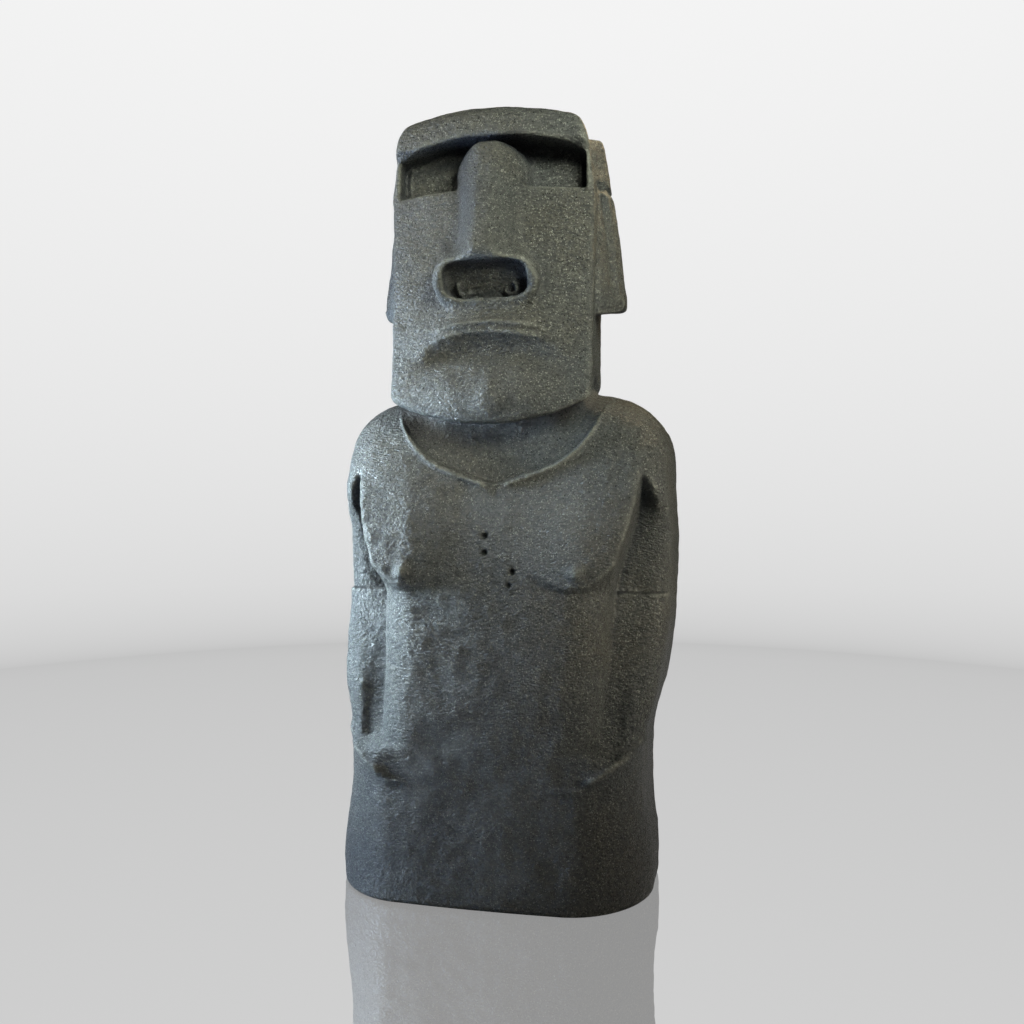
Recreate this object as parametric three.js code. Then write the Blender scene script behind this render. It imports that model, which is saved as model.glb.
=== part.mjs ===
import * as THREE from 'three';

// A moai: a standing figure carved from one block of basalt, head and body in one piece.
// Millimetres, +Z up, front towards -Y, origin at the middle of the underside.
// The figure is one implicit form, negative inside the stone. It is turned into faces on a
// fine grid, and then thinned to the few thousand faces that its shape needs.

const height = 2200;
const width = 984;
const depth = 614;
const chinHeight = 1325;
const faceLimit = 9200;
const gridStep = 10;

// The head is laid out in eighths of its own height, from the crown down to the chin.
const eighth = (height - chinHeight) / 8;
const browHeight = height - 0.92 * eighth;
const eyeFloor = height - 2.12 * eighth;
const noseFoot = height - 5 * eighth;
const mouthHeight = height - 5.66 * eighth;
const earTop = height - 0.62 * eighth;
const earNotch = height - 1.95 * eighth;
const earFoot = height - 5.05 * eighth;

const elbowHeight = 866;
const nippleHeight = 928;
const nippleOut = 238;
const collarLow = 1152;
const shoulderHeight = 1442;

// The figure isn't quite square: its front is turned a little towards -X.
const turn = 0.05;

const clamp = THREE.MathUtils.clamp;
const mix = THREE.MathUtils.lerp;

// 0 at from, 1 at to, easing in and out between them, whichever of the two is larger.
function ease(from, to, t) {
  const s = clamp((t - from) / (to - from), 0, 1);
  return s * s * (3 - 2 * s);
}

function bump(t, reach) {
  return Math.exp(-((t / reach) ** 2));
}

// The stone of a or b, with the inner corner between them filled over a width.
function join(a, b, fillet) {
  const h = Math.max(fillet - Math.abs(a - b), 0) / fillet;
  return Math.min(a, b) - (h * h * fillet) / 4;
}

// The stone that a and b share, with the outer corner between them rounded.
function common(a, b, rounding) {
  return -join(-a, -b, rounding);
}

// The stone of a without b.
function cut(a, b, rounding) {
  return common(a, -b, rounding);
}

// A smooth size along the height, through [height, size] pairs, with no overshoot.
function profile(...knots) {
  const slopes = [];
  for (let i = 0; i + 1 < knots.length; i++) {
    slopes.push((knots[i + 1][1] - knots[i][1]) / (knots[i + 1][0] - knots[i][0]));
  }
  const tangents = knots.map((knot, i) => {
    if (i === 0) return slopes[0];
    if (i === knots.length - 1) return slopes[i - 1];
    const [before, after] = [slopes[i - 1], slopes[i]];
    return before * after <= 0 ? 0 : (2 * before * after) / (before + after);
  });
  return (at) => {
    const z = clamp(at, knots[0][0], knots[knots.length - 1][0]);
    let i = 0;
    while (i < knots.length - 2 && z >= knots[i + 1][0]) i++;
    const span = knots[i + 1][0] - knots[i][0];
    const t = (z - knots[i][0]) / span;
    const start = (2 * t ** 3 - 3 * t ** 2 + 1) * knots[i][1] + (t ** 3 - 2 * t ** 2 + t) * span * tangents[i];
    const end = (3 * t ** 2 - 2 * t ** 3) * knots[i + 1][1] + (t ** 3 - t ** 2) * span * tangents[i + 1];
    return start + end;
  };
}

// Distance to a level section: a rectangle with round corners, narrower ones in front.
function section(x, y, half, front, back, frontRound, backRound) {
  const across = (back - front) / 2;
  const deep = (back + front) / 2;
  const round = mix(frontRound, backRound, ease(-60, 60, y));
  const qx = Math.abs(x) - (half - round);
  const qy = Math.abs(y - across) - (deep - round);
  return Math.hypot(Math.max(qx, 0), Math.max(qy, 0)) + Math.min(Math.max(qx, qy), 0) - round;
}

// Body sizes, from the underside at 0 to the shoulders.
const lean = profile(
  [0, -29], [200, -18], [400, -3], [620, 11], [850, 20], [1200, 28], [1400, 16], [1550, -4],
);
const bodyHalf = profile(
  [0, 459], [100, 456], [300, 426], [450, 417], [620, 449], [850, 467],
  [1000, 467], [1180, 457], [1300, 454], [1450, 428],
);
const bodyFront = profile(
  [0, 249], [200, 268], [500, 284], [750, 290], [950, 286], [1150, 258], [1300, 222], [1450, 185],
);
const bodyBack = profile([0, 226], [300, 232], [700, 236], [1100, 228], [1350, 196], [1500, 165]);
const bodyRound = profile([0, 225], [300, 175], [450, 130], [900, 100], [1300, 100]);
const trunkHalf = profile(
  [340, 262], [420, 300], [520, 316], [820, 318], [890, 322], [970, 342], [1060, 369], [1240, 404], [1400, 430],
);
const upperArmFront = profile([860, 140], [980, 150], [1090, 176], [1190, 244], [1260, 262]);
const foreArmFront = profile([380, 256], [470, 238], [620, 214], [860, 162]);

function torso(x, y, z) {
  const side = Math.abs(x);
  const front = ease(0, 120, -y);

  // Chest plates end under the nipples, and the belly is slightly round.
  const plateFoot = 880 + 0.049 * Math.max(side - 250, 0) ** 1.6 + 0.03 * Math.max(215 - side, 0) ** 1.6;
  const plate = 18 * ease(plateFoot - 12, plateFoot + 12, z) * ease(60, 260, side) * ease(1330, 1150, z);
  const belly = 24 * (1 - (side / 480) ** 2) * ease(1330, 1000, z) - 8;
  const spine = -12 * bump(x, 45) * ease(1250, 1050, z) * ease(150, 500, z);
  const swell = (plate + belly) * front - spine * ease(60, 160, y);
  let stone = section(x, y + swell, bodyHalf(z), bodyFront(z), bodyBack(z), bodyRound(z), 120);

  // Low ridges: a hand from each forearm on to the belly, a finger line, and the V collar.
  const along = clamp((side - 255) / 160, 0, 1);
  const hand = 14 * bump(z - 368 - 105 * along ** 1.6, 17) * ease(265, 305, side) * ease(450, 400, side);
  const finger = 5 * bump(z - 350, 9) * ease(180, 235, side) * ease(305, 265, side);
  const collar = collarLow + 0.33 * side + 110 * (side / 290) ** 5;
  const ridge = 12 * bump(z - collar, 10) * ease(18, 40, side) * ease(305, 270, side);
  stone -= (hand + finger + ridge) * ease(0, 90, -y);

  const shoulder = shoulderHeight - 58 * (side / 480) ** 2 - 0.1 * Math.abs(y);
  stone = common(stone, z - shoulder, 140);

  // The arms lie back from the chest and belly, and the forearm comes forward at the elbow.
  const down = z + 0.3 * (side - 400);
  const upperArm = upperArmFront(z + 0.8 * (side - 400));
  const armFront = mix(foreArmFront(down), upperArm, ease(elbowHeight - 4, elbowHeight + 4, z));
  const runOut = 150 * ease(450, 380, down);
  const beyond = side - trunkHalf(z);
  const recess = common(-beyond, y + armFront + runOut, 8);
  // The belly turns broadly into the recess, the chest sharply, and the arms are round outside.
  const brink = mix(mix(115, 14, ease(860, 950, z)), 60, ease(30, 70, beyond));
  stone = cut(stone, recess, brink);

  const nipple = Math.hypot(side - nippleOut, y + 304, z - nippleHeight) - 26;
  stone = join(stone, nipple, 12);

  // The hollow of the neck over the collar.
  const neckFront = bodyFront(z) - 14 - 0.25 * clamp(z - collar, 0, 140);
  const hollow = common(common(collar + 12 - z, y + neckFront, 8), side - 300, 30);
  stone = cut(stone, hollow, 10);
  return common(stone, -z, 16);
}

// Head sizes, from under the chin to the crown.
const headHalf = profile([1300, 272], [1420, 279], [1700, 283], [1950, 286], [2010, 280], [2100, 264], [2200, 240]);
const faceFront = profile(
  [1300, 294], [1400, 296], [1520, 282], [1700, 270], [1960, 258], [2050, 262], [2085, 288], [2150, 284], [2200, 268],
);
const headBack = profile([1300, 165], [1500, 166], [1700, 180], [2000, 186], [2200, 165]);
const bridgeHalf = profile(
  [noseFoot + 60, 92], [noseFoot + 150, 80], [noseFoot + 240, 76], [eyeFloor, 88], [eyeFloor + 55, 96], [browHeight - 12, 70],
);
const bridgeFront = profile(
  [noseFoot - 20, 352], [noseFoot + 100, 380], [noseFoot + 140, 376], [noseFoot + 240, 348],
  [eyeFloor, 324], [browHeight - 10, 302],
);

function nose(side, y, z) {
  const across = clamp(side / bridgeHalf(z), 0, 1.7);
  const flank = 120 * Math.max(across - 0.22, 0) ** 1.6;
  let bridge = 0.78 * (flank - bridgeFront(z) - y);
  bridge = common(bridge, side - bridgeHalf(z) - 10, 20);
  bridge = common(bridge, z - (browHeight - 16), 34);
  bridge = common(bridge, y, 10);
  const wing = Math.hypot(Math.max(side - 80, 0) / 66, (y + 300) / 66, (z - noseFoot - 56) / 74);
  return join(bridge, 64 * (wing - 1), 40);
}

function head(x, y, z) {
  const side = Math.abs(x);

  // The face plane, with the muzzle, lips, the dip under them and the chin raised from it.
  const mouth = mouthHeight - 24 * (side / 165) ** 2;
  const muzzle = 24 * bump(z - mouth - 8, 46) * ease(245, 90, side);
  const lips = (9 * bump(z - mouth - 13, 8) + 10 * bump(z - mouth + 12, 9)) * Math.max(1 - (side / 168) ** 4, 0);
  const dip = -16 * bump(z - mouth + 62, 28) * ease(230, 110, side);
  const crest = 5 * Math.max(1 - side / 60, 0) * ease(1330, 1380, z) * ease(1500, 1440, z);
  const chin = 14 * bump(z - 1392, 62) * ease(265, 60, side) + crest;
  const raised = muzzle + lips + dip + chin - 18 * (side / 270) ** 2;
  const half = headHalf(z) - 0.05 * (y + 260);
  let stone = section(x, y + raised * ease(0, 140, -y), half, faceFront(z), headBack(z), 16, 90);

  const crown = height - 40 * ((x + 12) / 265) ** 2 - 0.00025 * (y + 60) ** 2;
  stone = common(stone, z - crown, 50);
  const jaw = chinHeight + 62 * (side / 271) ** 2.2 + 0.42 * clamp(y + 270, 0, 190);
  stone = common(stone, jaw - z, 18);

  // Deep hollows for the eyes, under a brow whose edge drops towards its ends.
  const browEdge = browHeight - 50 * (side / 270) ** 2.2;
  const cheekEdge = eyeFloor - 14 * (side / 270) ** 2;
  const hollowBack = -178 - 14 * clamp((browHeight - 20 - z) / 105, 0, 1);
  let hollow = common(z - browEdge, cheekEdge - z, 10);
  hollow = common(hollow, y - hollowBack, 24);
  hollow = common(hollow, side - 261, 10);
  stone = cut(stone, hollow, mix(14, 8, ease(70, 220, side)));

  // The nose ends in a sloping underside with a sunk oval panel for the nostrils.
  const above = 0.61 * (z - noseFoot + 1.3 * (y + 292));
  stone = join(stone, common(nose(side, y, z), -above, 12), 26);
  const up = z - noseFoot;
  let panel = 42 * (((side / 114) ** 4 + ((up - 50) / 43) ** 4) ** 0.25 - 1);
  panel = common(common(panel, above - 32, 10), y + 248, 6);
  return cut(stone, panel, 8);
}

// Long ears stand off the sides of the head: a knob above, a notch, and a grooved lobe that
// spreads towards its foot.
const earOut = profile(
  [earFoot, 344], [earFoot + 30, 354], [earFoot + 130, 344], [earNotch - 10, 318], [earNotch + 10, 311], [earTop, 290],
);

function ear(x, y, z) {
  const side = Math.abs(x);
  const out = earOut(z) - 0.62 * clamp(-100 - y, 0, 120);
  let stone = common(side - out, common(-196 - y, y + 14, 20), 12);
  stone = common(stone, 240 - side, 4);
  stone = common(stone, z - earTop - 0.2 * (y + 100), 14);
  stone = common(stone, earFoot + 0.2 * (y + 80) - z, 14);
  stone = cut(stone, Math.hypot(z - earNotch, side - out - 2) - 13, 8);
  for (const back of [138, 96]) {
    const groove = Math.hypot(0.8 * (y + back), side - out - 2) - 9;
    const reach = common(z - earNotch + 24, earFoot + 34 - z, 6);
    stone = cut(stone, common(groove, reach, 6), 6);
  }
  return stone;
}

function statue(x, y, z) {
  const leaning = x - lean(z) - turn * y;
  let stone = z < 1700 ? torso(leaning, y, z) : Infinity;
  if (z < 1000) return stone;
  const neck = common(section(leaning, y, 240, 186, 150, 90, 100), Math.abs(z - 1380) - 230, 30);
  stone = Number.isFinite(stone) ? join(stone, neck, 36) : neck;
  stone = join(stone, head(x, y, z), mix(12, 50, ease(0, 120, y)));
  return join(stone, ear(x, y, z), 8);
}

// Where stone meets stone only across the diagonal of a grid square or cell, the emptiest
// corner that is nearest to the surface is filled, so that the skin never touches itself.
function fillPinches(values, strides, offsets) {
  const [full, squares] = [offsets[7], []];
  for (const [u, v] of [[0, 1], [1, 2], [2, 0]]) {
    squares.push([0, strides[u], strides[v], strides[u] + strides[v]]);
  }
  const diagonals = [[0, 7], [1, 6], [2, 5], [3, 4]].map(([a, b]) => [offsets[a], offsets[b]]);
  const fill = (cell, group) => {
    const empty = group.map((offset) => cell + offset).filter((n) => values[n] >= 0);
    values[empty.reduce((a, b) => (values[b] < values[a] ? b : a))] = -0.01;
  };
  let pinches = 1;
  while (pinches) {
    pinches = 0;
    for (let cell = 0; cell + full < values.length; cell++) {
      const inside = (offset) => values[cell + offset] < 0;
      for (const square of squares) {
        const [a, b, c, d] = square.map(inside);
        if (a !== d || b !== c || a === b) continue;
        fill(cell, square);
        pinches++;
      }
      const stones = offsets.filter(inside).length;
      if (stones !== 2 && stones !== 6) continue;
      const odd = stones === 2;
      if (!diagonals.some(([a, b]) => inside(a) === odd && inside(b) === odd)) continue;
      fill(cell, offsets);
      pinches++;
    }
  }
}

// Surface nets: one point in every grid cell that the surface crosses, placed at the mean of
// the crossings on the cell's edges, and four-sided faces between neighbouring points.
function surfaceNets(field, low, high, step) {
  const count = [0, 1, 2].map((axis) => Math.ceil((high[axis] - low[axis]) / step) + 1);
  const strides = [count[1] * count[2], count[2], 1];
  const values = new Float64Array(count[0] * strides[0]);
  for (let i = 0, n = 0; i < count[0]; i++) {
    for (let j = 0; j < count[1]; j++) {
      for (let k = 0; k < count[2]; k++, n++) {
        values[n] = field(low[0] + i * step, low[1] + j * step, low[2] + k * step);
      }
    }
  }

  const corners = [];
  for (let c = 0; c < 8; c++) {
    corners.push([c & 1, (c >> 1) & 1, (c >> 2) & 1]);
  }
  const offsets = corners.map((c) => c[0] * strides[0] + c[1] * strides[1] + c[2]);
  fillPinches(values, strides, offsets);
  const pointOf = new Int32Array(values.length).fill(-1);
  const points = [];
  const faces = [];
  for (let i = 0; i + 1 < count[0]; i++) {
    for (let j = 0; j + 1 < count[1]; j++) {
      for (let k = 0; k + 1 < count[2]; k++) {
        const cell = i * strides[0] + j * strides[1] + k;
        const sum = [0, 0, 0];
        let crossings = 0;
        for (let c = 0; c < 8; c++) {
          for (let axis = 0; axis < 3; axis++) {
            if (corners[c][axis]) continue;
            const a = values[cell + offsets[c]];
            const b = values[cell + offsets[c | (1 << axis)]];
            if (a < 0 === b < 0) continue;
            for (let d = 0; d < 3; d++) {
              sum[d] += corners[c][d];
            }
            sum[axis] += a / (a - b);
            crossings++;
          }
        }
        if (!crossings) continue;
        pointOf[cell] = points.length / 3;
        [i, j, k].forEach((index, axis) => points.push(low[axis] + (index + sum[axis] / crossings) * step));
        for (let axis = 0; axis < 3; axis++) {
          const [u, v] = [strides[(axis + 1) % 3], strides[(axis + 2) % 3]];
          const inside = values[cell] < 0;
          if (inside === values[cell + strides[axis]] < 0) continue;
          const [p, q, r, s] = [pointOf[cell], pointOf[cell - u], pointOf[cell - u - v], pointOf[cell - v]];
          if (inside) faces.push([p, q, r], [p, r, s]);
          else faces.push([p, r, q], [p, s, r]);
        }
      }
    }
  }
  return { points, faces };
}

// Edge collapse by quadric error: each step joins the two ends of the edge whose loss moves
// the surface least, as long as the skin stays one closed sheet and no face turns over.
function thin({ points, faces }, limit) {
  const pointCount = points.length / 3;
  const around = Array.from({ length: pointCount }, () => new Set());
  const quadrics = new Float64Array(pointCount * 10);
  const stamp = new Int32Array(pointCount);
  const heap = [];
  const at = (v) => new THREE.Vector3(points[3 * v], points[3 * v + 1], points[3 * v + 2]);
  const normalOf = (a, b, c) => b.clone().sub(a).cross(c.clone().sub(a));

  faces.forEach((face, index) => {
    face.forEach((v) => around[v].add(index));
    const corner = face.map(at);
    const normal = normalOf(...corner);
    const area = normal.length();
    normal.normalize();
    const plane = [normal.x, normal.y, normal.z, -normal.dot(corner[0])];
    for (const v of face) {
      let n = v * 10;
      for (let i = 0; i < 4; i++) {
        for (let j = i; j < 4; j++) {
          quadrics[n++] += area * plane[i] * plane[j];
        }
      }
    }
  });

  const neighbours = (v) => {
    const found = new Set();
    around[v].forEach((index) => faces[index].forEach((w) => found.add(w)));
    found.delete(v);
    return found;
  };

  const cost = (q, p) => {
    const cross = q[1] * p.x * p.y + q[2] * p.x * p.z + q[5] * p.y * p.z;
    const linear = q[3] * p.x + q[6] * p.y + q[8] * p.z;
    return q[0] * p.x ** 2 + q[4] * p.y ** 2 + q[7] * p.z ** 2 + 2 * (cross + linear) + q[9];
  };

  // The best place for the joined point, held lightly to the middle of the edge.
  const plan = (a, b) => {
    const q = [];
    for (let i = 0; i < 10; i++) {
      q.push(quadrics[a * 10 + i] + quadrics[b * 10 + i]);
    }
    const middle = at(a).add(at(b)).multiplyScalar(0.5);
    const hold = 0.002 * (q[0] + q[4] + q[7]);
    const matrix = new THREE.Matrix3(
      q[0] + hold, q[1], q[2],
      q[1], q[4] + hold, q[5],
      q[2], q[5], q[7] + hold,
    );
    const right = new THREE.Vector3(-q[3], -q[6], -q[8]).addScaledVector(middle, hold);
    const place = right.applyMatrix3(matrix.invert());
    return { place, loss: cost(q, place) + 0.02 * hold * place.distanceToSquared(middle) };
  };

  const push = (a, b) => {
    const { place, loss } = plan(a, b);
    let i = heap.push({ a, b, place, loss, stampA: stamp[a], stampB: stamp[b] }) - 1;
    while (i > 0 && heap[(i - 1) >> 1].loss > heap[i].loss) {
      const parent = (i - 1) >> 1;
      [heap[i], heap[parent]] = [heap[parent], heap[i]];
      i = parent;
    }
  };

  const pop = () => {
    const top = heap[0];
    const last = heap.pop();
    if (heap.length) {
      heap[0] = last;
      let i = 0;
      for (;;) {
        let child = 2 * i + 1;
        if (child >= heap.length) break;
        if (child + 1 < heap.length && heap[child + 1].loss < heap[child].loss) child++;
        if (heap[i].loss <= heap[child].loss) break;
        [heap[i], heap[child]] = [heap[child], heap[i]];
        i = child;
      }
    }
    return top;
  };

  const keepsShape = (v, other, place) => {
    for (const index of around[v]) {
      const face = faces[index];
      if (face.includes(other)) continue;
      const before = face.map(at);
      const after = face.map((w, i) => (w === v ? place : before[i]));
      const [was, is] = [normalOf(...before), normalOf(...after)];
      const longest = Math.max(...after.map((p, i) => p.distanceToSquared(after[(i + 1) % 3])));
      if (is.length() < 0.08 * longest) return false;
      if (was.dot(is) < 0.5 * was.length() * is.length()) return false;
    }
    return true;
  };

  for (let v = 0; v < pointCount; v++) {
    neighbours(v).forEach((w) => w > v && push(v, w));
  }
  const alive = new Set(faces.keys());
  while (alive.size > limit && heap.length) {
    const { a, b, place, stampA, stampB } = pop();
    if (stamp[a] !== stampA || stamp[b] !== stampB) continue;
    const near = neighbours(b);
    const shared = [...neighbours(a)].filter((v) => near.has(v));
    if (shared.length !== 2 || !keepsShape(a, b, place) || !keepsShape(b, a, place)) continue;
    for (const index of around[b]) {
      const face = faces[index];
      if (face.includes(a)) {
        alive.delete(index);
        face.forEach((v) => v !== b && around[v].delete(index));
      } else {
        face[face.indexOf(b)] = a;
        around[a].add(index);
      }
    }
    around[b].clear();
    [points[3 * a], points[3 * a + 1], points[3 * a + 2]] = [place.x, place.y, place.z];
    for (let i = 0; i < 10; i++) {
      quadrics[a * 10 + i] += quadrics[b * 10 + i];
    }
    stamp[a]++;
    stamp[b] = -1;
    neighbours(a).forEach((v) => push(a, v));
  }
  return [...alive].map((index) => faces[index].map(at));
}

// The finished faces, brought to the exact overall size and stood on a truly flat underside.
function statueGeometry() {
  const skin = surfaceNets(statue, [-525, -425, -25], [525, 285, 2225], gridStep);
  const corners = thin(skin, faceLimit).flat();
  const geometry = new THREE.BufferGeometry().setFromPoints(corners);
  geometry.computeBoundingBox();
  const { min, max } = geometry.boundingBox;
  geometry.translate(-(min.x + max.x) / 2, -(min.y + max.y) / 2, -min.z);
  geometry.scale(width / (max.x - min.x), depth / (max.y - min.y), height / (max.z - min.z));
  const position = geometry.attributes.position;
  for (let i = 0; i < position.count; i++) {
    if (Math.abs(position.getZ(i)) < 0.5) position.setZ(i, 0);
  }
  geometry.computeVertexNormals();
  return geometry;
}

const basalt = new THREE.MeshStandardMaterial({ color: 0x4a4a41, roughness: 0.55, metalness: 0 });
const figure = new THREE.Mesh(statueGeometry(), basalt);
figure.name = 'statue';

const moai = new THREE.Group();
moai.add(figure);

export default moai;
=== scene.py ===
import math

import bmesh
import bpy
import numpy as np
from mathutils import Euler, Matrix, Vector


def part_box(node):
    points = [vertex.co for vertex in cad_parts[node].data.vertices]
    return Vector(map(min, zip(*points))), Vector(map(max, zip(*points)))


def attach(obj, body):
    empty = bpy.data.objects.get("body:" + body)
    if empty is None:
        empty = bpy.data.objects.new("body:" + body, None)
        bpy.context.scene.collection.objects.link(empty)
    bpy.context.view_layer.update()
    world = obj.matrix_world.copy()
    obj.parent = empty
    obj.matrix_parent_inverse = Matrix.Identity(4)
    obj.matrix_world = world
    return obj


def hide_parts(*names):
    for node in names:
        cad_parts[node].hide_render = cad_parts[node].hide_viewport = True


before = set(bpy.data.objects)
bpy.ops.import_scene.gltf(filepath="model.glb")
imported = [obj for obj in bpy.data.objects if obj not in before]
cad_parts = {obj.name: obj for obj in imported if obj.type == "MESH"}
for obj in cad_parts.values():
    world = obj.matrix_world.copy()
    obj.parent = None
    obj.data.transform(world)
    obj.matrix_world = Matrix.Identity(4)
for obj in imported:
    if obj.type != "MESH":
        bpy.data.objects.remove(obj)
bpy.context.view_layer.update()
statueLow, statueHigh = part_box("statue")
print("frame loaded, statue", [round(v, 3) for v in statueHigh - statueLow])

millimetre = 0.001


# The figure is one implicit form in millimetres, negative inside the stone, worked out
# for whole arrays of points at once.

def clamp(t, low, high):
    return np.minimum(np.maximum(t, low), high)


def mix(a, b, t):
    return a + (b - a) * t


def ease(start, end, t):
    s = clamp((t - start) / (end - start), 0, 1)
    return s * s * (3 - 2 * s)


def bump(t, reach):
    return np.exp(-((t / reach) ** 2))


# stone of a or b, inner corner filled
def join(a, b, fillet):
    h = np.maximum(fillet - np.abs(a - b), 0) / fillet
    return np.minimum(a, b) - h * h * fillet / 4


# stone that a and b share, outer corner rounded
def common(a, b, rounding):
    return -join(-a, -b, rounding)


# stone of a without b
def cut(a, b, rounding):
    return common(a, -b, rounding)


# smooth size along the height through (height, size) pairs, with no overshoot
def profile(*knots):
    heights, sizes = np.array(knots, np.float32).T
    spans = np.diff(heights)
    slopes = np.diff(sizes) / spans
    tangents = np.concatenate([slopes[:1], np.zeros(len(knots) - 2), slopes[-1:]])
    for i in range(1, len(knots) - 1):
        before, after = slopes[i - 1], slopes[i]
        if before * after > 0:
            tangents[i] = 2 * before * after / (before + after)

    def sizeAt(z):
        z = clamp(z, heights[0], heights[-1])
        i = np.clip(np.searchsorted(heights, z, side="right") - 1, 0, len(knots) - 2)
        t = (z - heights[i]) / spans[i]
        start = (2 * t**3 - 3 * t**2 + 1) * sizes[i] + (t**3 - 2 * t**2 + t) * spans[i] * tangents[i]
        end = (3 * t**2 - 2 * t**3) * sizes[i + 1] + (t**3 - t**2) * spans[i] * tangents[i + 1]
        return start + end

    return sizeAt


# distance to a level rectangle with round corners
def section(x, y, half, front, back, frontRound, backRound):
    across = (back - front) / 2
    deep = (back + front) / 2
    rounding = mix(frontRound, backRound, ease(-60, 60, y))
    qx = np.abs(x) - (half - rounding)
    qy = np.abs(y - across) - (deep - rounding)
    return np.hypot(np.maximum(qx, 0), np.maximum(qy, 0)) + np.minimum(np.maximum(qx, qy), 0) - rounding


# Sizes in millimetres from the middle of the underside. The head is laid out in eighths
# of its own height, from the crown down to the chin.

moai = {
    "height": 2200,
    "chinHeight": 1325,
    "elbowHeight": 866,
    "nippleHeight": 928,
    "nippleOut": 238,
    "collarLow": 1152,
    "shoulderHeight": 1442,
    "plateHeight": 880, "plateRise": 18,
    "bellySwell": 24, "bellySet": 8,
    "spineDepth": 12,
    "handHeight": 368, "handClimb": 105, "handRise": 14,
    "fingerHeight": 350, "fingerRise": 5,
    "ridgeRise": 12,
    "nippleRadius": 26, "nippleForward": 304,
    "neckStart": 1000,
    "turn": 0.05,
}
eighth = (moai["height"] - moai["chinHeight"]) / 8
browHeight = moai["height"] - 0.92 * eighth
eyeFloor = moai["height"] - 2.12 * eighth
noseFoot = moai["height"] - 5 * eighth
mouthHeight = moai["height"] - 5.66 * eighth
earTop = moai["height"] - 0.62 * eighth
earNotch = moai["height"] - 1.95 * eighth
earFoot = moai["height"] - 5.05 * eighth

lean = profile([0, -29], [200, -18], [400, -3], [620, 11], [850, 20], [1200, 28], [1400, 16], [1550, -4])
bodyHalf = profile(
    [0, 459], [100, 456], [300, 426], [450, 417], [620, 449], [850, 467],
    [1000, 467], [1180, 457], [1300, 454], [1450, 428],
)
bodyFront = profile(
    [0, 249], [200, 268], [500, 284], [750, 290], [950, 286], [1150, 258], [1300, 222], [1450, 185],
)
bodyBack = profile([0, 226], [300, 232], [700, 236], [1100, 228], [1350, 196], [1500, 165])
bodyRound = profile([0, 225], [300, 175], [450, 130], [900, 100], [1300, 100])
trunkHalf = profile(
    [340, 262], [420, 300], [520, 316], [820, 318], [890, 322],
    [970, 342], [1060, 369], [1240, 404], [1400, 430],
)
upperArmFront = profile([860, 140], [980, 150], [1090, 176], [1190, 244], [1260, 262])
foreArmFront = profile([380, 256], [470, 238], [620, 214], [860, 162])


def collarLine(side):
    return moai["collarLow"] + 0.33 * side + 110 * (side / 290) ** 5


def torsoForm(x, y, z):
    side = np.abs(x)
    front = ease(0, 120, -y)

    # chest plates end under the nipples, the belly is slightly round
    plateFoot = moai["plateHeight"] + 0.049 * np.maximum(side - 250, 0) ** 1.6
    plateFoot = plateFoot + 0.03 * np.maximum(215 - side, 0) ** 1.6
    plate = moai["plateRise"] * ease(plateFoot - 12, plateFoot + 12, z)
    plate = plate * ease(60, 260, side) * ease(1330, 1150, z)
    belly = moai["bellySwell"] * (1 - (side / 480) ** 2) * ease(1330, 1000, z) - moai["bellySet"]
    spine = -moai["spineDepth"] * bump(x, 45) * ease(1250, 1050, z) * ease(150, 500, z)
    swell = (plate + belly) * front - spine * ease(60, 160, y)
    stone = section(x, y + swell, bodyHalf(z), bodyFront(z), bodyBack(z), bodyRound(z), 120)

    # low ridges: hands reaching on to the belly, a finger line, the V collar
    along = clamp((side - 255) / 160, 0, 1)
    hand = moai["handRise"] * bump(z - moai["handHeight"] - moai["handClimb"] * along**1.6, 17)
    hand = hand * ease(265, 305, side) * ease(450, 400, side)
    finger = moai["fingerRise"] * bump(z - moai["fingerHeight"], 9)
    finger = finger * ease(180, 235, side) * ease(305, 265, side)
    collar = collarLine(side)
    ridge = moai["ridgeRise"] * bump(z - collar, 10) * ease(18, 40, side) * ease(305, 270, side)
    stone = stone - (hand + finger + ridge) * ease(0, 90, -y)

    shoulder = moai["shoulderHeight"] - 58 * (side / 480) ** 2 - 0.1 * np.abs(y)
    stone = common(stone, z - shoulder, 140)

    # arms lie back from the chest and belly, the forearm comes forward at the elbow
    elbow = moai["elbowHeight"]
    down = z + 0.3 * (side - 400)
    upperArm = upperArmFront(z + 0.8 * (side - 400))
    armFront = mix(foreArmFront(down), upperArm, ease(elbow - 4, elbow + 4, z))
    runOut = 150 * ease(450, 380, down)
    beyond = side - trunkHalf(z)
    recess = common(-beyond, y + armFront + runOut, 8)
    brink = mix(mix(115, 14, ease(860, 950, z)), 60, ease(30, 70, beyond))
    stone = cut(stone, recess, brink)

    nippleIn = (side - moai["nippleOut"]) ** 2 + (y + moai["nippleForward"]) ** 2
    nipple = np.sqrt(nippleIn + (z - moai["nippleHeight"]) ** 2) - moai["nippleRadius"]
    stone = join(stone, nipple, 12)

    # hollow of the neck over the collar
    neckFront = bodyFront(z) - 14 - 0.25 * clamp(z - collar, 0, 140)
    hollow = common(common(collar + 12 - z, y + neckFront, 8), side - 300, 30)
    stone = cut(stone, hollow, 10)
    return common(stone, -z, 16)


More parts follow.
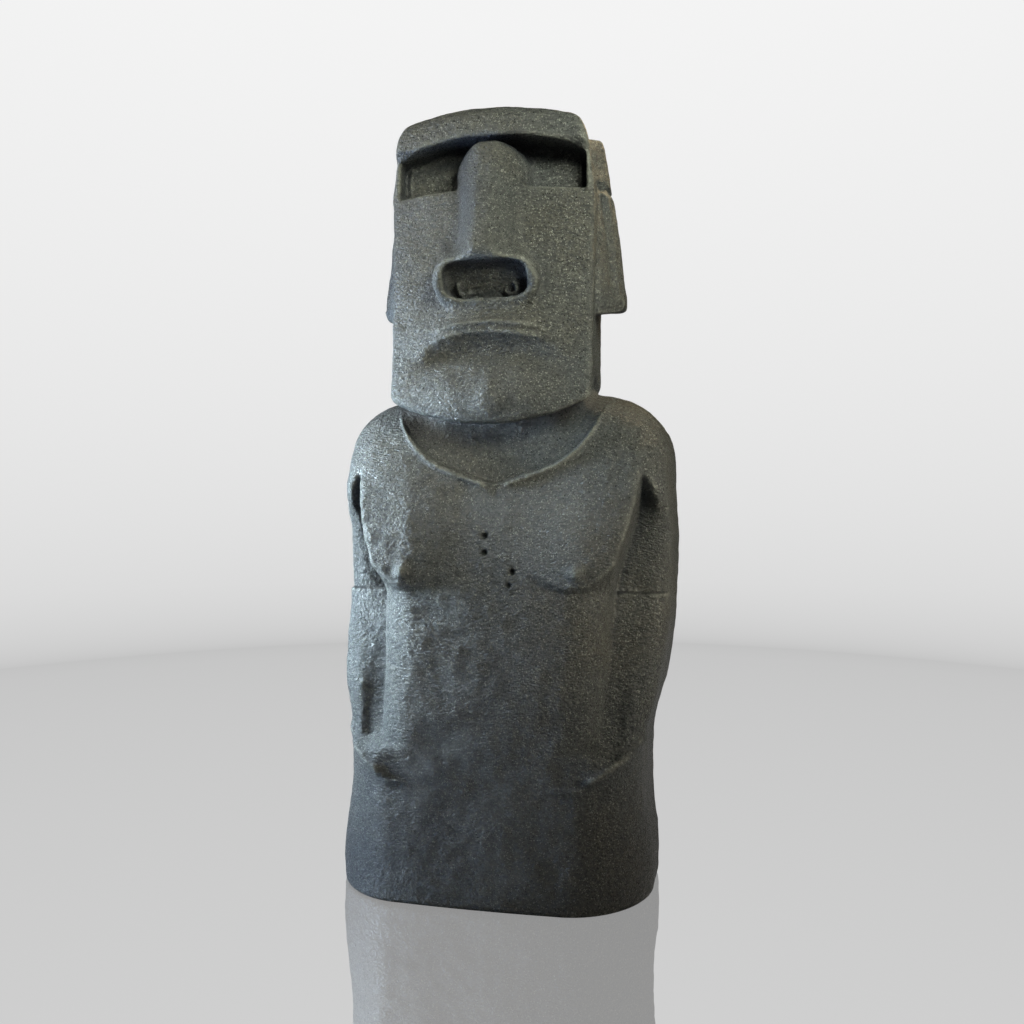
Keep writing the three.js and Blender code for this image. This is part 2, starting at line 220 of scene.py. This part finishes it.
headHalf = profile([1300, 272], [1420, 279], [1700, 283], [1950, 286], [2010, 280], [2100, 264], [2200, 240])
faceFront = profile(
    [1300, 294], [1400, 296], [1520, 282], [1700, 270], [1960, 258],
    [2050, 262], [2085, 288], [2150, 284], [2200, 268],
)
headBack = profile([1300, 165], [1500, 166], [1700, 180], [2000, 186], [2200, 165])
bridgeHalf = profile(
    [noseFoot + 60, 92], [noseFoot + 150, 80], [noseFoot + 240, 76],
    [eyeFloor, 88], [eyeFloor + 55, 96], [browHeight - 12, 70],
)
bridgeFront = profile(
    [noseFoot - 20, 352], [noseFoot + 100, 380], [noseFoot + 140, 376], [noseFoot + 240, 348],
    [eyeFloor, 324], [browHeight - 10, 302],
)
earOut = profile(
    [earFoot, 344], [earFoot + 30, 354], [earFoot + 130, 344],
    [earNotch - 10, 318], [earNotch + 10, 311], [earTop, 290],
)


def noseForm(side, y, z):
    across = clamp(side / bridgeHalf(z), 0, 1.7)
    flank = 120 * np.maximum(across - 0.22, 0) ** 1.6
    bridge = 0.78 * (flank - bridgeFront(z) - y)
    bridge = common(bridge, side - bridgeHalf(z) - 10, 20)
    bridge = common(bridge, z - (browHeight - 16), 34)
    bridge = common(bridge, y, 10)
    wingOut = np.maximum(side - 80, 0) / 66
    wing = np.sqrt(wingOut**2 + ((y + 300) / 66) ** 2 + ((z - noseFoot - 56) / 74) ** 2)
    return join(bridge, 64 * (wing - 1), 40)


def headForm(x, y, z):
    side = np.abs(x)

    # muzzle, lips, the dip under them and the chin, raised from the face plane
    mouth = mouthHeight - 24 * (side / 165) ** 2
    muzzle = 24 * bump(z - mouth - 8, 46) * ease(245, 90, side)
    lips = (9 * bump(z - mouth - 13, 8) + 10 * bump(z - mouth + 12, 9)) * np.maximum(1 - (side / 168) ** 4, 0)
    dip = -16 * bump(z - mouth + 62, 28) * ease(230, 110, side)
    crest = 5 * np.maximum(1 - side / 60, 0) * ease(1330, 1380, z) * ease(1500, 1440, z)
    chin = 14 * bump(z - 1392, 62) * ease(265, 60, side) + crest
    raised = muzzle + lips + dip + chin - 18 * (side / 270) ** 2
    half = headHalf(z) - 0.05 * (y + 260)
    stone = section(x, y + raised * ease(0, 140, -y), half, faceFront(z), headBack(z), 16, 90)

    crown = moai["height"] - 40 * ((x + 12) / 265) ** 2 - 0.00025 * (y + 60) ** 2
    stone = common(stone, z - crown, 50)
    jaw = moai["chinHeight"] + 62 * (side / 271) ** 2.2 + 0.42 * clamp(y + 270, 0, 190)
    stone = common(stone, jaw - z, 18)

    # deep hollows for the eyes under a brow whose edge drops towards its ends
    browEdge = browHeight - 50 * (side / 270) ** 2.2
    cheekEdge = eyeFloor - 14 * (side / 270) ** 2
    hollowBack = -178 - 14 * clamp((browHeight - 20 - z) / 105, 0, 1)
    hollow = common(z - browEdge, cheekEdge - z, 10)
    hollow = common(hollow, y - hollowBack, 24)
    hollow = common(hollow, side - 261, 10)
    stone = cut(stone, hollow, mix(14, 8, ease(70, 220, side)))

    # the nose ends in a sloping underside with a sunk oval panel
    above = 0.61 * (z - noseFoot + 1.3 * (y + 292))
    stone = join(stone, common(noseForm(side, y, z), -above, 12), 26)
    up = z - noseFoot
    panel = 42 * (np.sqrt((side / 114) ** 4 + ((up - 50) / 43) ** 4) ** 0.5 - 1)
    panel = common(common(panel, above - 32, 10), y + 248, 6)
    return cut(stone, panel, 8)


# a knob above, a notch, and a grooved lobe that spreads towards its foot
def earForm(x, y, z):
    side = np.abs(x)
    out = earOut(z) - 0.62 * clamp(-100 - y, 0, 120)
    stone = common(side - out, common(-196 - y, y + 14, 20), 12)
    stone = common(stone, 240 - side, 4)
    stone = common(stone, z - earTop - 0.2 * (y + 100), 14)
    stone = common(stone, earFoot + 0.2 * (y + 80) - z, 14)
    stone = cut(stone, np.hypot(z - earNotch, side - out - 2) - 13, 8)
    for back in (138, 96):
        groove = np.hypot(0.8 * (y + back), side - out - 2) - 9
        reach = common(z - earNotch + 24, earFoot + 34 - z, 6)
        stone = cut(stone, common(groove, reach, 6), 6)
    return stone


def moaiForm(x, y, z):
    leaning = x - lean(z) - moai["turn"] * y
    stone = torsoForm(leaning, y, z)
    if np.max(z) < moai["neckStart"]:
        return stone
    neck = common(section(leaning, y, 240, 186, 150, 90, 100), np.abs(z - 1380) - 230, 30)
    whole = join(stone, neck, 36)
    whole = join(whole, headForm(x, y, z), mix(12, 50, ease(0, 120, y)))
    whole = join(whole, earForm(x, y, z), 8)
    return np.where(z < moai["neckStart"], stone, whole)


# Surface nets: one point in every grid cell that the surface crosses, and four-sided
# faces between neighbouring points.

netting = {
    "low": (-520, -440, -20),
    "high": (520, 300, 2220),
    "step": 6,
    "slab": 16,
    "settleRounds": 2, "settleReach": 0.5, "settleLimit": 2,
}


def gridValues(form, axes, slab):
    values = np.empty([len(axis) for axis in axes], np.float32)
    for start in range(0, len(axes[2]), slab):
        x, y, z = np.meshgrid(axes[0], axes[1], axes[2][start:start + slab], indexing="ij")
        values[:, :, start:start + slab] = form(x, y, z)
    return values


def surfaceNets(values, axes, step):
    inside = values < 0
    corners = [(i, j, k) for i in (0, 1) for j in (0, 1) for k in (0, 1)]
    cells = [n - 1 for n in values.shape]
    filled = sum(
        inside[i:i + cells[0], j:j + cells[1], k:k + cells[2]].astype(np.int8)
        for i, j, k in corners
    )
    crossed = (filled > 0) & (filled < 8)
    where = np.argwhere(crossed)
    pointOf = np.full(crossed.shape, -1, np.int64)
    pointOf[crossed] = np.arange(len(where))

    total = np.zeros((len(where), 3))
    crossings = np.zeros(len(where))
    for corner in corners:
        for axis in range(3):
            if corner[axis]:
                continue
            other = list(corner)
            other[axis] = 1
            a = values[tuple((where + corner).T)]
            b = values[tuple((where + other).T)]
            changes = (a < 0) != (b < 0)
            spot = np.tile(np.array(corner, float), (len(where), 1))
            spot[:, axis] = np.where(changes, a / np.where(changes, a - b, 1), 0)
            total[changes] += spot[changes]
            crossings[changes] += 1
    points = (where + total / crossings[:, None]) * step + [axis[0] for axis in axes]

    faces = []
    for axis in range(3):
        across, up = (axis + 1) % 3, (axis + 2) % 3
        near = np.take(inside, range(values.shape[axis] - 1), axis)
        far = np.take(inside, range(1, values.shape[axis]), axis)
        edges = np.argwhere(near != far)
        outward = near[tuple(edges.T)]
        ring = []
        for da, du in ((-1, -1), (0, -1), (0, 0), (-1, 0)):
            cell = edges.copy()
            cell[:, across] += da
            cell[:, up] += du
            ring.append(pointOf[tuple(cell.T)])
        ring = np.stack(ring, 1)
        ring[~outward] = ring[~outward][:, ::-1]
        faces.append(ring)
    return points, np.concatenate(faces)


# moves points along the form's slope on to its surface
def settle(form, points, rounds):
    reach = netting["settleReach"]
    limit = netting["settleLimit"]
    for _ in range(rounds):
        x, y, z = points.T
        value = form(x, y, z)
        slope = np.stack([
            form(x + reach, y, z) - form(x - reach, y, z),
            form(x, y + reach, z) - form(x, y - reach, z),
            form(x, y, z + reach) - form(x, y, z - reach),
        ], 1) / (2 * reach)
        steep = np.maximum((slope**2).sum(1), 0.25)
        points = points - slope * clamp(value / steep, -limit, limit)[:, None]
    return points


def meshFrom(name, points, faces):
    mesh = bpy.data.meshes.new(name)
    mesh.vertices.add(len(points))
    mesh.vertices.foreach_set("co", points.astype(np.float32).ravel())
    mesh.loops.add(faces.size)
    mesh.loops.foreach_set("vertex_index", faces.astype(np.int32).ravel())
    mesh.polygons.add(len(faces))
    mesh.polygons.foreach_set("loop_start", np.arange(0, faces.size, faces.shape[1], dtype=np.int32))
    mesh.update(calc_edges=True)
    mesh.validate()
    return mesh


def vertexArrays(mesh):
    points = np.empty(len(mesh.vertices) * 3, np.float32)
    mesh.vertices.foreach_get("co", points)
    normals = np.empty(len(mesh.vertices) * 3, np.float32)
    mesh.vertices.foreach_get("normal", normals)
    return points.reshape(-1, 3).astype(float), normals.reshape(-1, 3).astype(float)


def fitToBox(points, low, high):
    lowest, highest = points.min(0), points.max(0)
    return np.array(low) + (points - lowest) / (highest - lowest) * (np.array(high) - np.array(low))


# Small cuts and curls on the finished form: pits in the chest as (across, up, radius), the
# notch under the collar, and a curl at each nostril.

carving = {
    "pits": [(-16, 1022, 9), (-14, 978, 8), (63, 928, 8), (55, 892, 7)],
    "notchFoot": 1128,
    "curlOut": 64, "curlUp": 34, "curlRadius": 17, "curlThick": 6,
}


def carvedForm(x, y, z):
    stone = moaiForm(x, y, z)
    leaning = x - lean(z) - moai["turn"] * y
    front = -bodyFront(z) - 14
    for across, up, size in carving["pits"]:
        pit = np.sqrt((leaning - across) ** 2 + (0.6 * (y - front)) ** 2 + (z - up) ** 2) - size
        stone = cut(stone, pit, 4)
    notch = common(np.abs(leaning) - 0.62 * (z - carving["notchFoot"]), y + 262, 5)
    notch = common(notch, z - moai["collarLow"] - 40, 5)
    stone = cut(stone, notch, 5)
    if np.max(z) < noseFoot - 50:
        return stone

    # a curl of stone round the foot of each nostril
    above = 0.61 * (z - noseFoot + 1.3 * (y + 292))
    out = np.abs(x) - carving["curlOut"]
    up = z - noseFoot - carving["curlUp"]
    ring = np.hypot(out, up) - carving["curlRadius"]
    curl = common(np.hypot(ring, above - 27) - carving["curlThick"], up - 0.7 * out - 6, 5)
    return join(stone, curl, 6)


print("netting the figure")
axes = [np.arange(l, h + netting["step"], netting["step"], dtype=np.float32)
        for l, h in zip(netting["low"], netting["high"])]
points, faces = surfaceNets(gridValues(carvedForm, axes, netting["slab"]), axes, netting["step"])
points = settle(carvedForm, points, netting["settleRounds"])
print("points", len(points), "faces", len(faces))

figureMesh = meshFrom("moaiFigure", points * millimetre, faces)
figure = bpy.data.objects.new("moaiFigure", figureMesh)
bpy.context.scene.collection.objects.link(figure)


# Geometry nodes push the skin in and out by uneven noise, as hammer stones leave it.

pecking = {
    "swellScale": 7.0, "swellDepth": 0.0050,
    "dentScale": 26.0, "dentDepth": 0.0032,
    "flatFoot": 0.02,
}


def geometryGroup(name):
    group = bpy.data.node_groups.new(name, "GeometryNodeTree")
    group.interface.new_socket("Geometry", in_out="INPUT", socket_type="NodeSocketGeometry")
    group.interface.new_socket("Geometry", in_out="OUTPUT", socket_type="NodeSocketGeometry")
    return group


def addNode(tree, kind, settings=None, inputs=None):
    node = tree.nodes.new(kind)
    for key, value in (settings or {}).items():
        setattr(node, key, value)
    for key, value in (inputs or {}).items():
        socket = node.inputs[key]
        if isinstance(value, bpy.types.NodeSocket):
            tree.links.new(value, socket)
        else:
            socket.default_value = value
    return node


def peckedSkin(material):
    tree = geometryGroup("peckedSkin")
    start = addNode(tree, "NodeGroupInput")
    place = addNode(tree, "GeometryNodeInputPosition").outputs[0]
    normal = addNode(tree, "GeometryNodeInputNormal").outputs[0]
    swell = addNode(tree, "ShaderNodeTexNoise", {"noise_dimensions": "3D"}, {
        "Vector": place, "Scale": pecking["swellScale"], "Detail": 2.0, "Roughness": 0.45,
    }).outputs["Fac"]
    dent = addNode(tree, "ShaderNodeTexNoise", {"noise_dimensions": "3D"}, {
        "Vector": place, "Scale": pecking["dentScale"], "Detail": 2.0, "Roughness": 0.55,
    }).outputs["Fac"]
    swellBy = addNode(tree, "ShaderNodeMapRange", None, {
        "Value": swell, "From Min": 0.25, "From Max": 0.75,
        "To Min": -pecking["swellDepth"] / 2, "To Max": pecking["swellDepth"] / 2,
    }).outputs[0]
    dentBy = addNode(tree, "ShaderNodeMapRange", None, {
        "Value": dent, "From Min": 0.25, "From Max": 0.75,
        "To Min": -pecking["dentDepth"] / 2, "To Max": pecking["dentDepth"] / 2,
    }).outputs[0]
    both = addNode(tree, "ShaderNodeMath", {"operation": "ADD"}, {0: swellBy, 1: dentBy}).outputs[0]
    height = addNode(tree, "ShaderNodeSeparateXYZ", None, {0: place}).outputs[2]
    clear = addNode(tree, "ShaderNodeMapRange", {"interpolation_type": "SMOOTHSTEP"}, {
        "Value": height, "From Min": 0.001, "From Max": pecking["flatFoot"],
    }).outputs[0]
    amount = addNode(tree, "ShaderNodeMath", {"operation": "MULTIPLY"}, {0: both, 1: clear}).outputs[0]
    offset = addNode(tree, "ShaderNodeVectorMath", {"operation": "SCALE"}, {
        0: normal, "Scale": amount,
    }).outputs[0]
    moved = addNode(tree, "GeometryNodeSetPosition", None, {"Geometry": start.outputs[0], "Offset": offset})
    real = addNode(tree, "GeometryNodeRealizeInstances", None, {0: moved.outputs[0]})
    painted = addNode(tree, "GeometryNodeSetMaterial", None, {
        "Geometry": real.outputs[0], "Material": material,
    })
    addNode(tree, "NodeGroupOutput", None, {0: painted.outputs[0]})
    return tree


basalt = {
    "dark": (0.012, 0.013, 0.016, 1),
    "cool": (0.068, 0.076, 0.078, 1),
    "warm": (0.084, 0.079, 0.064, 1),
    # worn: lighter colour for outer corners, partly wear and partly a painted highlight
    "wornHighlit": (0.160, 0.160, 0.140, 1),
    # speck: light mineral specks, which also serve as painted glints
    "speckGlint": (0.300, 0.300, 0.270, 1),
    # recess: the colour of painted shade in deep hollows
    "recess": (0.010, 0.012, 0.018, 1),
    "strokeScale": (80, 112, 125),
    "dimpleScale": 1.25,
    "grainScale": 330.0,
    "crystalScale": 360.0,
    "patchScale": 3.1,
    "pitShare": 0.92, "grainShare": 0.7, "wornHighlitShare": 0.8, "speckGlintShare": 0.7,
    "broadBump": 0.0100, "fineBump": 0.0034, "dimpleShare": 0.35,
    "smoothest": 0.26, "roughest": 0.62,
    "ior": 1.6, "specular": 0.6,
}


def basaltMaterial():
    material = bpy.data.materials.new("peckedBasalt")
    material.use_nodes = True
    tree = material.node_tree
    tree.nodes.clear()
    place = addNode(tree, "ShaderNodeTexCoord").outputs["Object"]

    # strokes follow a slowly turning field, so they flow round the forms
    flow = addNode(tree, "ShaderNodeTexNoise", None, {
        "Vector": place, "Scale": 2.2, "Detail": 1.0, "Roughness": 0.4,
    }).outputs["Color"]
    drift = addNode(tree, "ShaderNodeVectorMath", {"operation": "MULTIPLY_ADD"}, {
        0: flow, 1: (0.10, 0.10, 0.16), 2: place,
    }).outputs[0]
    turned = addNode(tree, "ShaderNodeMapping", None, {
        "Vector": drift, "Rotation": (0, math.radians(16), 0), "Scale": basalt["strokeScale"],
    }).outputs[0]
    strokes = addNode(tree, "ShaderNodeTexNoise", None, {
        "Vector": turned, "Scale": 1.0, "Detail": 4.0, "Roughness": 0.62, "Distortion": 0.7,
    }).outputs["Fac"]
    dimples = addNode(tree, "ShaderNodeTexVoronoi", {"feature": "SMOOTH_F1"}, {
        "Vector": turned, "Scale": basalt["dimpleScale"], "Smoothness": 0.2,
    }).outputs["Distance"]
    grain = addNode(tree, "ShaderNodeTexNoise", None, {
        "Vector": place, "Scale": basalt["grainScale"], "Detail": 2.0, "Roughness": 0.7,
    }).outputs["Fac"]
    patches = addNode(tree, "ShaderNodeTexNoise", None, {
        "Vector": place, "Scale": basalt["patchScale"], "Detail": 3.0, "Roughness": 0.55,
    }).outputs["Fac"]
    crystals = addNode(tree, "ShaderNodeTexVoronoi", None, {
        "Vector": place, "Scale": basalt["crystalScale"],
    }).outputs["Color"]
    facet = addNode(tree, "ShaderNodeSeparateColor", None, {0: crystals})

    wearHighlight = addNode(tree, "ShaderNodeAttribute", {"attribute_name": "edgeWearAndHighlight"}).outputs["Fac"]
    paintedShade = addNode(tree, "ShaderNodeAttribute", {"attribute_name": "paintedShade"}).outputs["Fac"]

    patchAmount = addNode(tree, "ShaderNodeMapRange", None, {
        "Value": patches, "From Min": 0.38, "From Max": 0.62,
    }).outputs[0]
    ground = addNode(tree, "ShaderNodeMix", {"data_type": "RGBA"}, {
        "Factor": patchAmount, 6: basalt["cool"], 7: basalt["warm"],
    }).outputs[2]
    pitAmount = addNode(tree, "ShaderNodeMapRange", None, {
        "Value": strokes, "From Min": 0.40, "From Max": 0.56, "To Min": basalt["pitShare"], "To Max": 0.0,
    }).outputs[0]
    pecked = addNode(tree, "ShaderNodeMix", {"data_type": "RGBA"}, {
        "Factor": pitAmount, 6: ground, 7: basalt["dark"],
    }).outputs[2]
    grainAmount = addNode(tree, "ShaderNodeMapRange", None, {
        "Value": grain, "From Min": 0.40, "From Max": 0.55, "To Min": basalt["grainShare"], "To Max": 0.0,
    }).outputs[0]
    grained = addNode(tree, "ShaderNodeMix", {"data_type": "RGBA"}, {
        "Factor": grainAmount, 6: pecked, 7: basalt["dark"],
    }).outputs[2]
    # outer corners lighter, partly wear and partly a painted highlight
    wornHighlitAmount = addNode(tree, "ShaderNodeMath", {"operation": "MULTIPLY"}, {
        0: wearHighlight, 1: basalt["wornHighlitShare"],
    }).outputs[0]
    wornHighlit = addNode(tree, "ShaderNodeMix", {"data_type": "RGBA"}, {
        "Factor": wornHighlitAmount, 6: grained, 7: basalt["wornHighlit"],
    }).outputs[2]
    # light mineral specks, partly grain and partly painted glints
    speckGlintAmount = addNode(tree, "ShaderNodeMapRange", None, {
        "Value": facet.outputs[1], "From Min": 0.92, "From Max": 0.95,
        "To Min": 0.0, "To Max": basalt["speckGlintShare"],
    }).outputs[0]
    speckGlinted = addNode(tree, "ShaderNodeMix", {"data_type": "RGBA"}, {
        "Factor": speckGlintAmount, 6: wornHighlit, 7: basalt["speckGlint"],
    }).outputs[2]
    # painted shade: the colour darkens towards recess in hollows that the form closes over
    shadePainted = addNode(tree, "ShaderNodeMix", {"data_type": "RGBA"}, {
        "Factor": paintedShade, 6: speckGlinted, 7: basalt["recess"],
    }).outputs[2]

    roughness = addNode(tree, "ShaderNodeMapRange", None, {
        "Value": facet.outputs[0], "From Min": 0.0, "From Max": 1.0,
        "To Min": basalt["smoothest"], "To Max": basalt["roughest"],
    }).outputs[0]

    broad = addNode(tree, "ShaderNodeMath", {"operation": "MULTIPLY_ADD"}, {
        0: dimples, 1: basalt["dimpleShare"], 2: strokes,
    }).outputs[0]
    broadBump = addNode(tree, "ShaderNodeBump", None, {
        "Strength": 1.0, "Distance": basalt["broadBump"], "Height": broad,
    }).outputs[0]
    fineBump = addNode(tree, "ShaderNodeBump", None, {
        "Strength": 1.0, "Distance": basalt["fineBump"], "Height": grain, "Normal": broadBump,
    }).outputs[0]

    shader = addNode(tree, "ShaderNodeBsdfPrincipled", None, {
        "Base Color": shadePainted, "Roughness": roughness, "Normal": fineBump,
        "IOR": basalt["ior"], "Specular IOR Level": basalt["specular"],
    })
    addNode(tree, "ShaderNodeOutputMaterial", None, {"Surface": shader.outputs[0]})
    return material


basaltLook = basaltMaterial()
skin = figure.modifiers.new("peckedSkin", "NODES")
skin.node_group = peckedSkin(basaltLook)

finish = {
    "faces": 190000,
    "wearHighlightFrom": 0.012, "wearHighlightTo": 0.05, "wearHighlightRounds": 3,
    "paintedShadeFrom": 0.28, "paintedShadeTo": 0.85, "paintedShadeReaches": (25, 60, 120),
}


# applies the modifiers by taking the evaluated mesh
def applied(piece):
    bpy.context.view_layer.update()
    evaluated = piece.evaluated_get(bpy.context.evaluated_depsgraph_get())
    mesh = bpy.data.meshes.new_from_object(evaluated)
    piece.modifiers.clear()
    piece.data = mesh
    return mesh


figureMesh = applied(figure)
thin = figure.modifiers.new("thin", "DECIMATE")
thin.ratio = min(1, finish["faces"] / (2 * len(figureMesh.polygons)))
thin.use_collapse_triangulate = True
figureMesh = applied(figure)
print("thinned to", len(figureMesh.polygons), "triangles")

carved, outward = vertexArrays(figureMesh)
fitted = fitToBox(carved, statueLow, statueHigh)
figureMesh.vertices.foreach_set("co", fitted.astype(np.float32).ravel())
figureMesh.polygons.foreach_set("use_smooth", [True] * len(figureMesh.polygons))
figureMesh.update()


# Outer corners get a lighter colour, partly wear and partly a painted highlight; deep hollows get painted
# shade, a darker colour where the form closes over them.

def setAttribute(mesh, name, values):
    attribute = mesh.attributes.new(name, "FLOAT", "POINT")
    attribute.data.foreach_set("value", values.astype(np.float32))


def spread(values, edges, counts, rounds):
    for _ in range(rounds):
        total = np.bincount(edges[:, 0], values[edges[:, 1]], len(values))
        total += np.bincount(edges[:, 1], values[edges[:, 0]], len(values))
        values = 0.5 * values + 0.5 * total / counts
    return values


def bend(mesh, points, normals):
    edges = np.empty(len(mesh.edges) * 2, np.int32)
    mesh.edges.foreach_get("vertices", edges)
    edges = edges.reshape(-1, 2)
    counts = np.bincount(edges.ravel(), minlength=len(points)).astype(float)
    along = points[edges[:, 1]] - points[edges[:, 0]]
    length = np.linalg.norm(along, axis=1)
    turnBy = ((normals[edges[:, 1]] - normals[edges[:, 0]]) * along).sum(1) / length**2
    total = np.bincount(edges[:, 0], turnBy, len(points)) + np.bincount(edges[:, 1], turnBy, len(points))
    return spread(total / counts, edges, counts, finish["wearHighlightRounds"])


# how far the form closes over each point, which sets the amount of painted shade
def paintedShadeOf(points, normals):
    hidden = np.zeros(len(points))
    reaches = finish["paintedShadeReaches"]
    for reach in reaches:
        probe = points + normals * reach
        hidden += clamp(1 - moaiForm(*probe.T) / reach, 0, 1.5) / len(reaches)
    return hidden


curve = bend(figureMesh, carved / millimetre, outward)
hidden = paintedShadeOf(carved / millimetre, outward)
# lighter outer corners: wear and a painted highlight
setAttribute(figureMesh, "edgeWearAndHighlight", ease(finish["wearHighlightFrom"], finish["wearHighlightTo"], curve))
# painted shade, darker in deep hollows
setAttribute(figureMesh, "paintedShade", ease(finish["paintedShadeFrom"], finish["paintedShadeTo"], hidden))
print("wear set, curve", np.percentile(curve, [5, 50, 95]).round(4))

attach(figure, "root")
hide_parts("statue")


studio = {
    "floorRadius": 5.0, "bend": 2.5, "wallHeight": 9.0, "arcSteps": 16, "turnSteps": 96,
    "paleFloor": 0.56, "paleWall": 0.90, "paleRise": 0.3, "roomLight": 0.02,
    "fullRise": 6.5, "mirror": 0.50, "mirrorTop": 0.4,
}


# floor and wall all round in one sheet with a round bend
def studioRoom():
    outline = [(0.0, 0.0)]
    for i in range(studio["arcSteps"] + 1):
        angle = math.pi / 2 * i / studio["arcSteps"]
        outline.append((
            studio["floorRadius"] + studio["bend"] * math.sin(angle),
            studio["bend"] * (1 - math.cos(angle)),
        ))
    outline.append((studio["floorRadius"] + studio["bend"], studio["wallHeight"]))
    build = bmesh.new()
    ring = [build.verts.new((out, 0, up)) for out, up in outline]
    edges = [build.edges.new(pair) for pair in zip(ring, ring[1:])]
    bmesh.ops.spin(
        build, geom=ring + edges, cent=(0, 0, 0), axis=(0, 0, 1),
        angle=2 * math.pi, steps=studio["turnSteps"], use_merge=True,
    )
    bmesh.ops.remove_doubles(build, verts=build.verts, dist=1e-5)
    bmesh.ops.recalc_face_normals(build, faces=build.faces)
    for face in build.faces:
        face.smooth = True
    mesh = bpy.data.meshes.new("studioFloor")
    build.to_mesh(mesh)
    build.free()
    room = bpy.data.objects.new("studioFloor", mesh)
    bpy.context.scene.collection.objects.link(room)
    return room


# a painted glow, pale to the eye and brighter up the wall, nearly dark to the stone, and a clear mirror near
# the floor
def floorMaterial():
    material = bpy.data.materials.new("paleFloor")
    material.use_nodes = True
    tree = material.node_tree
    tree.nodes.clear()
    place = addNode(tree, "ShaderNodeTexCoord").outputs["Object"]
    height = addNode(tree, "ShaderNodeSeparateXYZ", None, {0: place}).outputs[2]
    # painted light: the glow grows brighter with height up the wall
    share = addNode(tree, "ShaderNodeMapRange", None, {
        "Value": height, "From Max": studio["fullRise"],
    }).outputs[0]
    rise = addNode(tree, "ShaderNodeMath", {"operation": "POWER"}, {
        0: share, 1: studio["paleRise"],
    }).outputs[0]
    pale = addNode(tree, "ShaderNodeMapRange", None, {
        "Value": rise, "To Min": studio["paleFloor"], "To Max": studio["paleWall"],
    }).outputs[0]
    path = addNode(tree, "ShaderNodeLightPath").outputs
    seen = addNode(tree, "ShaderNodeMath", {"operation": "MAXIMUM"}, {
        0: path["Is Camera Ray"], 1: path["Is Singular Ray"],
    }).outputs[0]
    strength = addNode(tree, "ShaderNodeMix", None, {
        "Factor": seen, 2: studio["roomLight"], 3: pale,
    }).outputs[0]
    glow = addNode(tree, "ShaderNodeEmission", None, {"Strength": strength}).outputs[0]
    mirror = addNode(tree, "ShaderNodeBsdfGlossy", None, {"Roughness": 0.0}).outputs[0]
    level = addNode(tree, "ShaderNodeMapRange", None, {
        "Value": height, "From Min": 0.0, "From Max": studio["mirrorTop"],
        "To Min": studio["mirror"], "To Max": 0.0,
    }).outputs[0]
    both = addNode(tree, "ShaderNodeMixShader", None, {0: level, 1: glow, 2: mirror}).outputs[0]
    addNode(tree, "ShaderNodeOutputMaterial", None, {"Surface": both})
    return material


floor = studioRoom()
floor.data.materials.append(floorMaterial())

lamps = {
    "coolLeft": {"at": (-2.4, -0.2, 1.4), "size": 0.8, "power": 66, "tint": (0.45, 0.64, 1.0)},
    "highLeft": {"at": (-1.6, -0.4, 2.3), "size": 0.6, "power": 22, "tint": (1.0, 1.0, 0.88)},
    "armEdge": {
        "at": (-1.5, -0.15, 1.1), "size": 0.3, "tall": 1.2, "power": 9, "tint": (0.78, 0.97, 1.0),
        "aim": (-0.47, -0.2, 0.95), "spread": 60,
    },
    "warmRight": {
        "at": (1.5, -1.9, 2.7), "size": 1.0, "power": 15, "tint": (0.95, 1.0, 0.82),
        "aim": (0, 0, 1.95), "spread": 60,
    },
    "lowRight": {
        "at": (2.2, -0.7, 1.2), "size": 0.6, "power": 4, "tint": (1.0, 0.93, 0.74),
        "aim": (0.4, -0.1, 0.9), "spread": 60,
    },
    "warmBack": {"at": (1.0, 1.4, 3.3), "size": 0.6, "power": 12, "tint": (1.0, 0.75, 0.4)},
}


def areaLamp(name, at, size, power, tint, aim=(0, 0, 1.2), tall=None, spread=180):
    light = bpy.data.lights.new(name, "AREA")
    light.size = size
    if tall:
        light.shape = "RECTANGLE"
        light.size_y = tall
    light.energy = power
    light.color = tint
    light.spread = math.radians(spread)
    lamp = bpy.data.objects.new(name, light)
    lamp.location = at
    lamp.rotation_euler = (Vector(aim) - Vector(at)).to_track_quat("-Z", "Y").to_euler()
    bpy.context.scene.collection.objects.link(lamp)


for name, lamp in lamps.items():
    areaLamp(name, **lamp)

bpy.context.scene.view_settings.view_transform = "Standard"
print("studio built")

view = {
    "distance": 2.70, "azimuth": math.radians(12), "height": 1.09,
    "heading": math.radians(11.85), "pitch": math.radians(-0.1), "lens": 31.78,
    "filmWidth": 36, "figureAxis": (-0.0035, 0.071, 0),
}
camera = bpy.data.objects.new("camera", bpy.data.cameras.new("camera"))
camera.data.lens = view["lens"]
camera.data.sensor_width = view["filmWidth"]
camera.location = Vector(view["figureAxis"]) + Vector((
    view["distance"] * math.sin(view["azimuth"]),
    -view["distance"] * math.cos(view["azimuth"]),
    view["height"],
))
camera.rotation_euler = Euler((math.pi / 2 + view["pitch"], 0, view["heading"]))
bpy.context.scene.collection.objects.link(camera)
bpy.context.scene.camera = camera
print("camera at", [round(v, 3) for v in camera.location])
